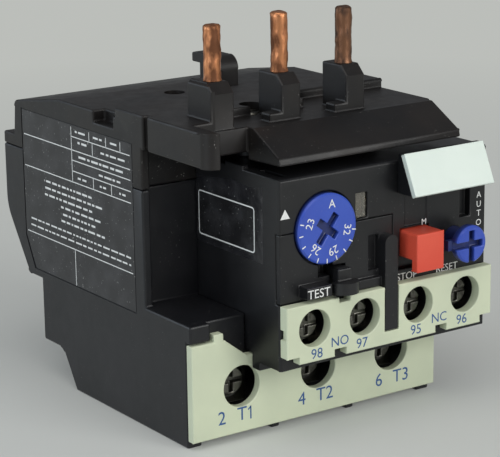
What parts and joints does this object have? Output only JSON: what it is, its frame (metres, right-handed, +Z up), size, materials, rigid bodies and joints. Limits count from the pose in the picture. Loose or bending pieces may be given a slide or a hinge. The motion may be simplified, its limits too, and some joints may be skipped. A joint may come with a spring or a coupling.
{
  "type": "thermal overload relay",
  "caption": "Three-pole thermal overload relay with copper plug-in pins, cream terminal covers, a blue setting dial, a red stop button and a blue reset button.",
  "frame": {"origin": "middle of the underside of the overall box, on the plane that the relay stands on", "axes": "+Z up along the copper pins, -Y towards the operating face, +X to the right as seen from the front"},
  "size_m": [0.0486, 0.0666, 0.0618],
  "materials": {
    "black_case": "fine satin thermoplastic",
    "black_cover": "fine satin thermoplastic",
    "black_module": "fine satin thermoplastic",
    "cream_cover": "slightly greenish cream thermoplastic",
    "white_marker": "smooth white plastic",
    "clear_pane": "clear plastic, slightly yellowed",
    "blue_dial": "moulded blue plastic",
    "blue_button": "moulded blue plastic",
    "red_button": "moulded red plastic",
    "black_key": "fine satin thermoplastic",
    "copper": "bare copper, scuffed, browned",
    "zinc_steel": "zinc plated steel",
    "tongue_metal": "tinned brass",
    "bimetal": "rolled bimetal strip",
    "heater_alloy": "resistance ribbon",
    "inner_plastic": "natural thermoplastic",
    "flag_plastic": "yellow plastic",
    "spring_steel": "spring wire"
  },
  "bodies": {
    "relay": {"aux_clamp_1": "zinc_steel", "aux_clamp_2": "zinc_steel", "aux_clamp_3": "zinc_steel", "aux_clamp_4": "zinc_steel", "aux_contact_1": "tongue_metal", "aux_contact_2": "tongue_metal", "aux_contact_3": "tongue_metal", "aux_contact_4": "tongue_metal", "aux_screw_1": "zinc_steel", "aux_screw_2": "zinc_steel", "aux_screw_3": "zinc_steel", "aux_screw_4": "zinc_steel", "aux_terminal_cover": "cream_cover", "bimetal_1": "bimetal", "bimetal_2": "bimetal", "bimetal_3": "bimetal", "case_base": "black_case", "copper_pin_1": "copper", "copper_pin_2": "copper", "copper_pin_3": "copper", "cover_screw_front": "zinc_steel", "cover_screw_rear": "zinc_steel", "face_panel": "black_module", "heater_winding_1": "heater_alloy", "heater_winding_2": "heater_alloy", "heater_winding_3": "heater_alloy", "inner_frame": "inner_plastic", "key_spring": "spring_steel", "marker_holder": "black_module", "marker_plate": "white_marker", "module_housing": "black_module", "mounting_hook": "black_cover", "pivot_pin": "zinc_steel", "pole_strap_1": "copper", "pole_strap_2": "copper", "pole_strap_3": "copper", "power_clamp_1": "zinc_steel", "power_clamp_2": "zinc_steel", "power_clamp_3": "zinc_steel", "power_screw_1": "zinc_steel", "power_screw_2": "zinc_steel", "power_screw_3": "zinc_steel", "power_terminal_cover": "cream_cover", "reset_spring": "spring_steel", "stop_spring": "spring_steel", "terminal_tongue_1": "tongue_metal", "terminal_tongue_2": "tongue_metal", "terminal_tongue_3": "tongue_metal", "top_cover": "black_cover", "window_pane": "clear_pane"},
    "dial": {"setting_dial": "blue_dial"},
    "test_key": {"test_key": "black_key"},
    "stop_button": {"stop_button": "red_button"},
    "reset_plunger": {"reset_plunger": "black_key"},
    "reset_button": {"reset_button": "blue_button"},
    "transfer_bar": {"transfer_bar": "inner_plastic"},
    "trip_lever": {"trip_lever": "inner_plastic", "trip_flag": "flag_plastic"}
  },
  "joints": [
    {"name": "dial_turn", "type": "hinge", "parent": "relay", "child": "dial", "pos_m": [-0.00585, -0.0283, 0.0321], "axis": [0, 1, 0], "range_deg": [-120, 120]},
    {"name": "test_press", "type": "slide", "parent": "relay", "child": "test_key", "axis": [0, 1, 0], "range_m": [0, 0.001], "stiffness_N_per_m": 800, "springref_m": -0.0012, "deforming": ["key_spring"]},
    {"name": "stop_press", "type": "slide", "parent": "relay", "child": "stop_button", "axis": [0, 1, 0], "range_m": [0, 0.002], "stiffness_N_per_m": 700, "springref_m": -0.0012, "deforming": ["stop_spring"]},
    {"name": "reset_press", "type": "slide", "parent": "relay", "child": "reset_plunger", "axis": [0, 1, 0], "range_m": [0, 0.002], "stiffness_N_per_m": 700, "springref_m": -0.0012, "deforming": ["reset_spring"]},
    {"name": "reset_turn", "type": "hinge", "parent": "reset_plunger", "child": "reset_button", "pos_m": [0.0181, -0.0293, 0.0266], "axis": [0, 1, 0], "range_deg": [0, 90]},
    {"name": "bar_travel", "type": "slide", "parent": "relay", "child": "transfer_bar", "axis": [0, -1, 0], "range_m": [0, 0.0012], "stiffness_N_per_m": 300, "springref_m": -0.001},
    {"name": "lever_swing", "type": "hinge", "parent": "relay", "child": "trip_lever", "pos_m": [0.003, -0.0127, 0.0256], "axis": [1, 0, 0], "range_deg": [0, 13]}
  ],
  "couplings": [
    {"joint": "lever_swing", "follows": "bar_travel", "rad_per_m": 185}
  ]
}
